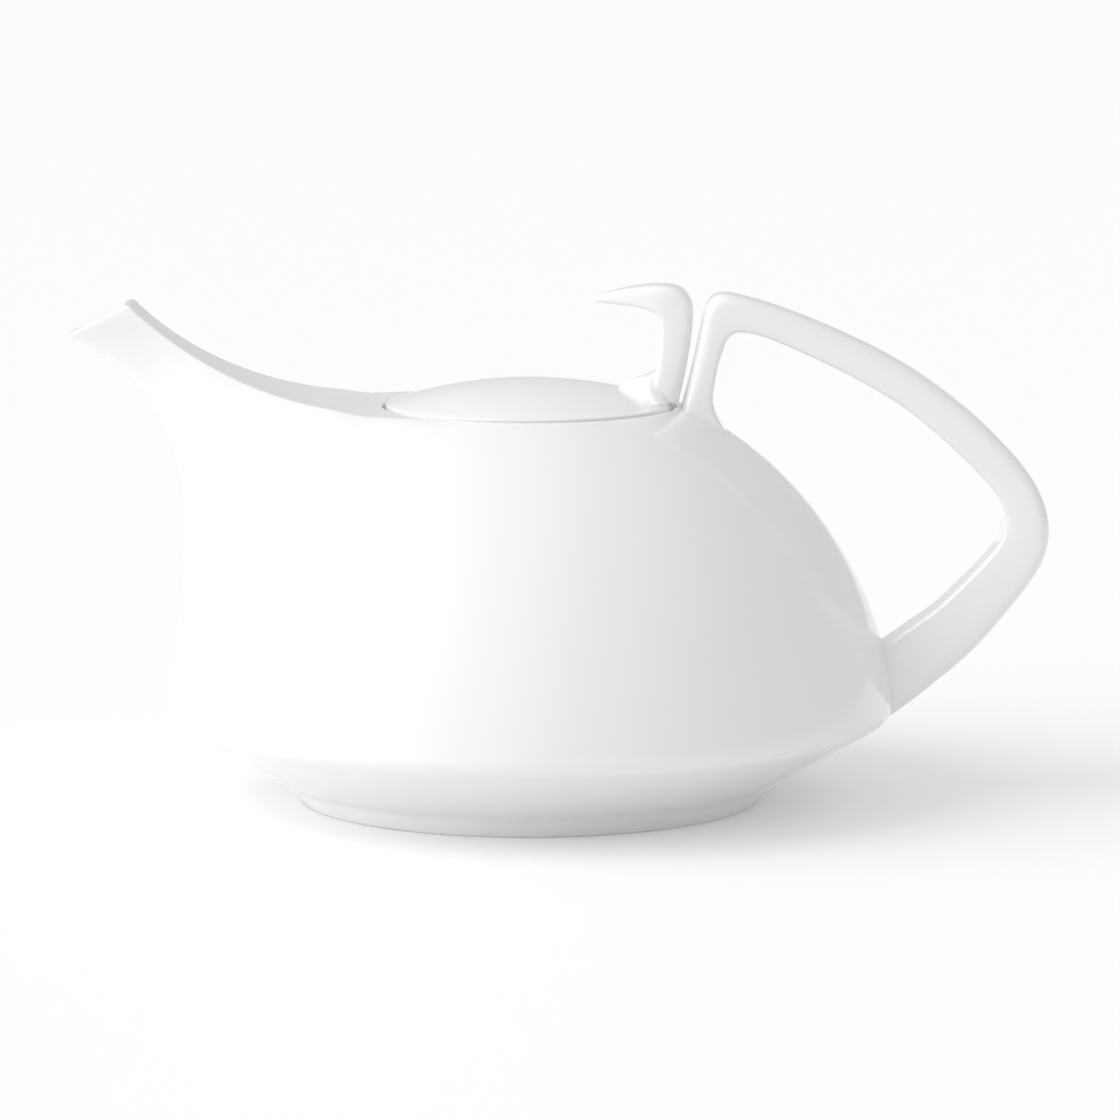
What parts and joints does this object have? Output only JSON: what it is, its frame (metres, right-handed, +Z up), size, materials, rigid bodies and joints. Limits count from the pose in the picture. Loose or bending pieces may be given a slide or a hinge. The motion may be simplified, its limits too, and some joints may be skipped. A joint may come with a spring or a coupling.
{
  "type": "teapot",
  "caption": "Round glazed porcelain teapot with a drawn-out prow spout, an angular loop handle and a lift-off lid with a hook grip.",
  "frame": {"origin": "centre of the foot ring, on the surface that the pot stands on", "axes": "+Z up, +X towards the handle, the spout at -X, the pot symmetric about the XZ plane"},
  "size_m": [0.2444, 0.1818, 0.1287],
  "materials": {
    "glaze": "white porcelain under a clear gloss glaze",
    "foot": "glazed porcelain, wiped bare and polished where it stands"
  },
  "bodies": {
    "pot": {"pot_body": "glaze", "foot_ring": "foot", "spout": "glaze", "strainer": "glaze", "handle": "glaze"},
    "lid": {"lid_cover": "glaze", "lid_flange": "glaze", "lid_hook": "glaze"}
  },
  "joints": [
    {"name": "lid_lift", "type": "slide", "parent": "pot", "child": "lid", "axis": [0, 0, 1], "range_m": [0, 0.06]}
  ]
}
